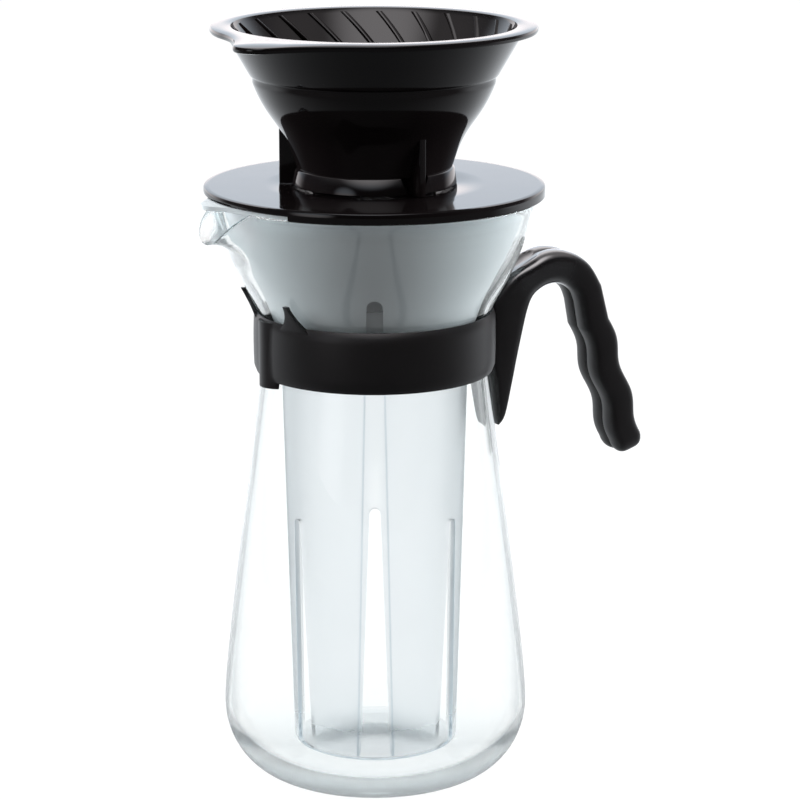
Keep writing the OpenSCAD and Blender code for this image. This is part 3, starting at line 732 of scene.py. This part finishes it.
def tab_outline(shrink):
    """Points on the rim and tab, from the tip of the tab round to the tip again, all moved in by shrink."""
    far = BRIM_R + TAB_REACH - TAB_END_R
    x = ((BRIM_R + TAB_BLEND_R) ** 2 - (TAB_END_R + TAB_BLEND_R) ** 2 + far ** 2) / (2 * far)
    y = math.sqrt((BRIM_R + TAB_BLEND_R) ** 2 - x * x)
    tip = arc((far, 0), TAB_END_R - shrink, 0, math.atan2(y, x - far), TIP_STEPS)
    hollow = arc((x, y), TAB_BLEND_R + shrink, math.atan2(-y, far - x), math.atan2(-y, -x), HOLLOW_STEPS)
    rest = arc((0, 0), BRIM_R - shrink, math.atan2(y, x), math.pi, RIM_STEPS)
    half = tip + hollow[1:-1] + rest
    return half + [(px, -py) for px, py in half[-2:0:-1]]


def to_tab(points, z):
    """Turns points to the tab's direction and lifts them to a height."""
    c, s = math.cos(TAB_TURN), math.sin(TAB_TURN)
    return [(px * c - py * s, px * s + py * c, z) for px, py in points]


def brim(shrink, z):
    return to_tab(tab_outline(shrink), z)


rim_turns = [math.atan2(py, px) for px, py in tab_outline(0)]


def circle(r, z):
    return to_tab([(r * math.cos(a), r * math.sin(a)) for a in rim_turns], z)


print("rim and tab:", len(rim_turns), "points")

# %% [markdown]
# ## The body of the dripper
#
# A straight cone holds the paper. Outside it, a bell hangs from the rim to a small ledge, and a bowl goes on down
# to the foot. A mould would form both faces at once. Here a stack of rings goes up the inside, over the rim and
# down the outside, and bridges join them, so the wall closes on itself.

# %% Dripper body
CONE_R, OUTLET_R, CONE_EDGE = 50.5, 9.5, 0.8
CONE_HALF_ANGLE = math.radians(30)
SLOPE = math.tan(CONE_HALF_ANGLE)
CONE_START = DRIP_TOP - CONE_EDGE
OUTLET_Z = CONE_START - (CONE_R - OUTLET_R) / SLOPE
WALL = 3.0 / math.cos(CONE_HALF_ANGLE)
FOOT_R, FOOT_H, FOOT_T = 29.4, 6.0, 3.2
BOWL_R, BOWL_Z = FOOT_R - 1.6, DRIP_Z + FOOT_H
LEDGE_Z, LEDGE_R = DRIP_TOP - 17.4, 44.2
LEDGE_W, LEDGE_H, LEDGE_WALL = 1.0, 0.4, 2.4
BELL_R, BRIM_MID = CONE_R + 3.0, DRIP_TOP - BRIM_T / 2
BRIM_LOW = DRIP_TOP - BRIM_T


def cone_at(z):
    """Radius of the cone inside at a height."""
    return OUTLET_R + (z - OUTLET_Z) * SLOPE


step_r, step_z = LEDGE_R - LEDGE_W, LEDGE_Z - LEDGE_H
bowl_top = step_z - LEDGE_WALL
inner_z = [OUTLET_Z + (CONE_START - OUTLET_Z) * t for t in (0.01, 0.1, 0.25, 0.4, 0.55, 0.7, 0.82, 0.92, 0.985)]
cone_edge = [(CONE_R, CONE_START + 0.2), (CONE_R + 0.12, DRIP_TOP - 0.15), (CONE_R + 0.5, DRIP_TOP)]
brim_edge = [(0.8, DRIP_TOP), (0.25, DRIP_TOP - 0.2), (0, DRIP_TOP - 0.8),
             (0, BRIM_LOW + 0.7), (0.3, BRIM_LOW + 0.2), (1.0, BRIM_LOW)]
bell = [(BELL_R + (LEDGE_R - BELL_R) * t, BRIM_MID + (LEDGE_Z - BRIM_MID) * t)
        for t in (0.1, 0.3, 0.5, 0.7, 0.9, 0.97)]
ledge = [(LEDGE_R + 0.02, LEDGE_Z + 0.1), (LEDGE_R - 0.12, LEDGE_Z - 0.06)]
ledge += bow([(step_r + 0.5, step_z + 0.2), (step_r + 0.1, step_z),
              (step_r, step_z - 0.2), (step_r, step_z - 0.9)], 5)
ledge += [(step_r, step_z - 1.6)]
bowl = bow([(step_r, bowl_top + 0.5), (step_r, bowl_top),
            (step_r - 0.2, bowl_top - 0.5), (step_r - 0.8, bowl_top - 2)], 4)
bowl += bow([bowl[-1], (step_r - 6.3, bowl_top - 15), (BOWL_R + 5.1, BOWL_Z + 17), (BOWL_R, BOWL_Z)], 28)[1:]
spout_r = cone_at(BOWL_Z) + WALL
spout = [(BOWL_R - 0.4, BOWL_Z), (spout_r + 0.2, BOWL_Z), (spout_r, BOWL_Z - 0.2),
         (OUTLET_R + WALL, OUTLET_Z + 0.3), (OUTLET_R + WALL - 0.3, OUTLET_Z)]

inside = [(OUTLET_R + 0.3, OUTLET_Z)] + [(cone_at(z), z) for z in inner_z] + cone_edge
outside = [(bell[0][0] + 0.35, BRIM_LOW)] + bell[1:] + ledge + bowl + spout
stack = [circle(r, z) for r, z in inside]
stack += [brim(shrink, z) for shrink, z in brim_edge]
stack += [circle(r, z) for r, z in outside]
dripper_bm = bmesh.new()
rings = [ring(dripper_bm, points) for points in stack]
bridged(dripper_bm, rings + rings[:1], cap=False)
print("dripper body:", len(stack), "rings of", len(rim_turns))

# %% [markdown]
# ## The ribs of the dripper
#
# The ribs keep the paper off the wall so that air can leave. A rib follows the cone's slope and turns as it goes
# down, long and short by turns. A curve with a bevel could do it, but would roll as it turns, so each rib is a
# small rounded section carried along that spiral and swelling from its ends.

# %% Dripper ribs
RIBS, RIB_W, RIB_TWIST, RIB_TURN = 24, 2.4, math.radians(75), math.radians(3)
RIB_STEPS, RIB_SHORT = 26, 0.5
RIB_TOP, RIB_END = CONE_START - 0.5, OUTLET_Z + 1
SWELL_START, SWELL_RATE = 0.35, 2.6
RIB_SECTION = [(-1, -0.6), (1, -0.6), (1, 0.15), (0.72, 0.75), (0.36, 1.35), (0.16, 1.5),
               (-0.16, 1.5), (-0.36, 1.35), (-0.72, 0.75), (-1, 0.15)]
for i in range(RIBS):
    share = 1.0 if i % 2 == 0 else RIB_SHORT
    rib_rows = []
    for k in range(RIB_STEPS + 1):
        s = share * k / RIB_STEPS
        z = RIB_TOP - s * (RIB_TOP - RIB_END)
        a = TAB_TURN + RIB_TURN + 2 * math.pi * i / RIBS - RIB_TWIST * s
        r = cone_at(z)
        swell = min(1.0, SWELL_START + SWELL_RATE * min(k, RIB_STEPS - k) / RIB_STEPS)
        lifted = [(across, lift * swell if lift > 0 else lift) for across, lift in RIB_SECTION]
        points = [spot(r - lift, a + across * RIB_W / 2 / r, z) for across, lift in lifted]
        rib_rows.append(ring(dripper_bm, points))
    bridged(dripper_bm, rib_rows)
print("dripper ribs:", RIBS)

# %% [markdown]
# ## The fins and foot of the dripper
#
# Three fins and a foot ring carry the dripper on the lid. The ring is broken at each fin, with slanted ends, so
# that steam can leave. A cutter could break a whole ring. Bridging each third from its own sections is simpler and
# keeps the ends clean.

# %% Dripper fins and foot
FINS, FIN_TURN, FIN_R, FIN_T, FIN_H = 3, math.radians(65), 33.9, 2.6, 22.6
FIN_STEPS, FIN_ROOT = 8, 1
NOTCH_LOW, NOTCH_TOP, ARC_STEPS = 3.2, 5.6, 40
fin_edge = [(FIN_R - 0.5, FIN_T / 2), (FIN_R - 0.15, FIN_T / 2 - 0.15), (FIN_R, FIN_T / 2 - 0.5)]
foot_section = [(FOOT_R - FOOT_T, 0), (FOOT_R - 0.3, 0), (FOOT_R, 0.3), (FOOT_R - 0.75, FOOT_H - 0.4),
                (FOOT_R - 1.1, FOOT_H), (FOOT_R - 2.4, FOOT_H + 0.6), (FOOT_R - FOOT_T, FOOT_H + 0.6)]


def fin_section(a, z):
    """A fin's outline at a height, with its outer edges rounded."""
    outward, across = Vector(spot(1, a, 0)), Vector((-math.sin(a), math.cos(a), 0))
    root = cone_at(z) + FIN_ROOT
    half = [(max(r, root), w) for r, w in [(root, FIN_T / 2)] + fin_edge]
    section = [(r, -w) for r, w in half] + half[::-1]
    return [tuple(outward * r + across * w + Vector((0, 0, z))) for r, w in section]


def foot_points(a, share):
    """The foot ring's section, a share of the way from one fin to the next."""
    points = []
    for r, lift in foot_section:
        notch = NOTCH_LOW + (NOTCH_TOP - NOTCH_LOW) * min(lift / FOOT_H, 1)
        start, end = a + notch / r, a + 2 * math.pi / FINS - notch / r
        points.append(spot(r, start + (end - start) * share, DRIP_Z + lift))
    return points


for i in range(FINS):
    a = TAB_TURN + FIN_TURN + 2 * math.pi * i / FINS
    fin_z = [DRIP_Z + FIN_H * k / FIN_STEPS for k in range(FIN_STEPS + 1)]
    bridged(dripper_bm, [ring(dripper_bm, fin_section(a, z)) for z in fin_z])
    shares = [k / ARC_STEPS for k in range(ARC_STEPS + 1)]
    bridged(dripper_bm, [ring(dripper_bm, foot_points(a, share)) for share in shares])
piece("ribbed_cone", dripper_bm, "cone", "dripper", gloss_black)

# %% [markdown]
# ## The band
#
# The band is a moulded collar, pulled tight round the neck. Its solid is right, and only its corners are too sharp
# for a moulding, so it keeps its mesh. One modifier welds the mesh and another rounds the corners, which leaves the
# solid itself as it was.

# %% Band
WELD, BAND_ROUND, ROUND_STEPS, ROUND_FROM = 0.01 * MM, 0.7 * MM, 3, math.radians(50)
repaint("band", satin_black)
band_node = frame["nodes"]["band"]
weld = band_node.modifiers.new("weld", "WELD")
weld.merge_threshold = WELD
soften = band_node.modifiers.new("soften", "BEVEL")
soften.width, soften.segments = BAND_ROUND, ROUND_STEPS
soften.limit_method, soften.angle_limit = "ANGLE", ROUND_FROM
print("band modifiers:", [m.name for m in band_node.modifiers])

# %% [markdown]
# ## The path of the handle
#
# The handle starts as a spine against the band, goes up over an arch and comes down as a wavy grip. It is laid out
# as stations, each with its inner and outer point and a share of the full thickness. The spine and arch follow a
# given table, smoothed. The grip is a sum, so that its waves stay even, and its end is rounded off.

# %% Handle path
BAND_R, BAND_MID = 43.8, 163.0
GRIP_W, GRIP_DROP, GRIP_TOP = 11.8, 54.0, (44.5, 0.5)
GRIP_LEAN = math.radians(17.6)
WAVE_PITCH, WAVE_DEPTH, WAVE_START = 22.5, 1.0, 4.4
GRIP_ROUND, END_WIDE, END_THICK, END_POWER = 0.1, 0.1, 0.15, 0.6
SPINE_STEPS, GRIP_STEPS, END_STEPS = 4, 32, 8
SPINE = [
    ((5.6, -37.4), (4.8, -37.4), 0.5), ((7.6, -33), (3.8, -34), 0.75), ((10, -21), (1.4, -21), 0.95),
    ((12, -12), (-1, -12), 1), ((14.4, -2), (-1, -1), 1), ((16.4, 5.5), (0, 10), 1),
    ((18.3, 10.1), (7.6, 19.2), 1), ((21.6, 12.8), (16.5, 23.4), 1), ((25, 13.9), (23, 26.2), 1),
    ((28.5, 13.9), (29.3, 26.8), 1), ((32.3, 12.5), (36, 24.8), 1), ((36, 9.4), (42.4, 20), 1),
    ((37.8, 5), (47.2, 12.4), 1)]


def smooth_row(rows, i, t):
    """A point on a smooth path through the rows, a share t past row i."""
    a, b = rows[max(i - 1, 0)], rows[i]
    c, d = rows[i + 1], rows[min(i + 2, len(rows) - 1)]
    return 0.5 * (2 * b + (c - a) * t + (2 * a - 5 * b + 4 * c - d) * t * t + (3 * b - a - 3 * c + d) * t ** 3)


def grip_station(s, wide, thick):
    """The grip's inner and outer point, a share s of the way down it."""
    drop = GRIP_DROP * s
    wave = WAVE_DEPTH * math.sin(2 * math.pi * (GRIP_DROP * min(s, 1 - GRIP_ROUND) - WAVE_START) / WAVE_PITCH)
    mid = Vector(GRIP_TOP) + Vector((drop * math.tan(GRIP_LEAN) + wave, -drop))
    side = GRIP_W / 2 * wide * Vector((math.cos(GRIP_LEAN), math.sin(GRIP_LEAN)))
    return (mid - side, mid + side, thick)


rows = [Vector((*first, *second, thick)) for first, second, thick in SPINE]
spine_rows = [smooth_row(rows, i, k / SPINE_STEPS) for i in range(len(rows) - 1) for k in range(SPINE_STEPS)]
stations = [(Vector(r[0:2]), Vector(r[2:4]), r[4]) for r in spine_rows + [rows[-1]]]
stations += [grip_station((1 - GRIP_ROUND) * i / GRIP_STEPS, 1, 1) for i in range(2, GRIP_STEPS + 1)]
for i in range(1, END_STEPS):
    a = math.pi / 2 * i / END_STEPS
    remains = math.cos(a) ** END_POWER
    stations.append(grip_station(1 - GRIP_ROUND + GRIP_ROUND * math.sin(a),
                                 END_WIDE + (1 - END_WIDE) * remains,
                                 END_THICK + (1 - END_THICK) * remains))
print("handle:", len(stations), "stations")

# %% [markdown]
# ## The sections of the handle
#
# The handle is moulded in two halves that meet on a fine groove. Each half section is a rounded half box that draws
# in towards the groove. Where a half would touch the band or the glass, its points are pushed out to a small gap,
# which is easier than cutting both shapes away from it.

# %% Handle sections
HANDLE_T, GROOVE_DEEP, GROOVE_WIDE = 17.0, 1.1, 1.5
BAND_LOW, BAND_TOP, LUG_HANG = 152.0, 174.0, 8
GLASS_GAP, BAND_GAP, GRIP_FAR = 1.5, 0.25, 109.15
SECTION_TURNS = [0, 0.2, 0.7, 1.6, 3.2, 5.5]
SECTION_TURNS += [9 + 9 * i for i in range(19)]
SECTION_TURNS += [174.5, 176.8, 178.4, 179.3, 179.8, 180]


def half_section(station, hand):
    """A rounded half section, drawn in towards the groove where the halves meet."""
    low, high, thick = station
    mid, side = (low + high) / 2, (high - low) / 2
    deep = min(GROOVE_DEEP, side.length / 4)
    points = []
    for degrees in SECTION_TURNS:
        w = math.radians(degrees)
        y = thick * HANDLE_T / 2 * math.sqrt(abs(math.sin(w)))
        c = math.copysign(math.sqrt(abs(math.cos(w))), math.cos(w))
        p = mid + side * c * (1 - deep / side.length * math.exp(-y / GROOVE_WIDE))
        points.append((p.x + BAND_R, hand * y, p.y + BAND_MID))
    return points


def kept_clear(point):
    """Pushes a point out of the band and the glass, and keeps it inside the solid's box."""
    x, y, z = point
    r = math.hypot(x, y)
    least = wall_r(z) + GLASS_GAP if z < RIM_Z else 0
    if BAND_LOW - LUG_HANG < z < BAND_TOP + BAND_GAP:
        least = max(least, BAND_R + BAND_GAP)
    if r < least:
        x, y = x * least / r, y * least / r
    return (min(x, GRIP_FAR), y, z)


print("handle section:", len(SECTION_TURNS), "points")

# %% [markdown]
# ## The thumb scoop and the handle
#
# A shallow scoop in the top of the arch takes the thumb. On the mould it is one long hollow across both halves. A
# long round-ended cutter, laid along the arch, cuts the same hollow from each half, so the two sides meet.

# %% Handle
SCOOP_LOW, SCOOP_TOP = Vector((7.6, 19.2)), Vector((18.6, 24.6))
SCOOP_R, SCOOP_DEPTH, SCOOP_RUN = 13.0, 1.4, 10.0
SCOOP_STEPS, SCOOP_POINTS, SCOOP_SHARP = 14, 96, 30


def scoop_cutter():
    """A round bar along the arch, with a ball-shaped end."""
    bm = bmesh.new()
    line = (SCOOP_TOP - SCOOP_LOW).normalized()
    onward, up = Vector((line.x, 0, line.y)), Vector((-line.y, 0, line.x))
    end = Vector((BAND_R + SCOOP_TOP.x, 0, BAND_MID + SCOOP_TOP.y)) + up * (SCOOP_R - SCOOP_DEPTH)
    run = (SCOOP_TOP - SCOOP_LOW).length + SCOOP_RUN
    turns = [2 * math.pi * i / SCOOP_POINTS for i in range(SCOOP_POINTS)]
    bar = []
    for k in range(SCOOP_STEPS):
        tilt = math.pi / 2 * k / SCOOP_STEPS
        at = end + onward * (SCOOP_R * math.sin(tilt) if k else -run)
        wide = SCOOP_R * math.cos(tilt)
        bar.append([tuple(at + wide * (math.cos(a) * up + math.sin(a) * Vector((0, 1, 0)))) for a in turns])
        if not k:
            bar.append([tuple(Vector(p) + onward * run) for p in bar[0]])
    bridged(bm, [ring(bm, row) for row in bar])
    bmesh.ops.recalc_face_normals(bm, faces=bm.faces)
    return bm


def carved(made, cutter_bm):
    """Cuts a shape out of a piece for good."""
    data = bpy.data.meshes.new("cutter")
    cutter_bm.to_mesh(data)
    cutter_bm.free()
    cutter = bpy.data.objects.new("cutter", data)
    scene.collection.objects.link(cutter)
    cut = made.modifiers.new("cut", "BOOLEAN")
    cut.operation, cut.object, cut.solver = "DIFFERENCE", cutter, "EXACT"
    shaped = bpy.data.meshes.new_from_object(made.evaluated_get(bpy.context.evaluated_depsgraph_get()))
    made.modifiers.clear()
    old, made.data = made.data, shaped
    bpy.data.meshes.remove(old)
    bpy.data.objects.remove(cutter)
    bpy.data.meshes.remove(data)
    shaped.set_sharp_from_angle(angle=math.radians(SCOOP_SHARP))
    print(made.name, "cut to", len(shaped.polygons), "faces")


for hand, node in ((1, "handle_left"), (-1, "handle_right")):
    half_bm = bmesh.new()
    bridged(half_bm, [ring(half_bm, [kept_clear(p) for p in half_section(st, hand)]) for st in stations])
    half = piece("grip_" + node, half_bm, "server", node, satin_black, sharp=40)
    carved(half, scoop_cutter())

# %% [markdown]
# ## The screw and the nut
#
# Both are hidden in the lug and the handle, and are seen only when the part is taken apart. Their solids are enough,
# in turned steel.

# %% Screw and nut
for node in ("band_screw", "band_nut"):
    repaint(node, turned_steel)
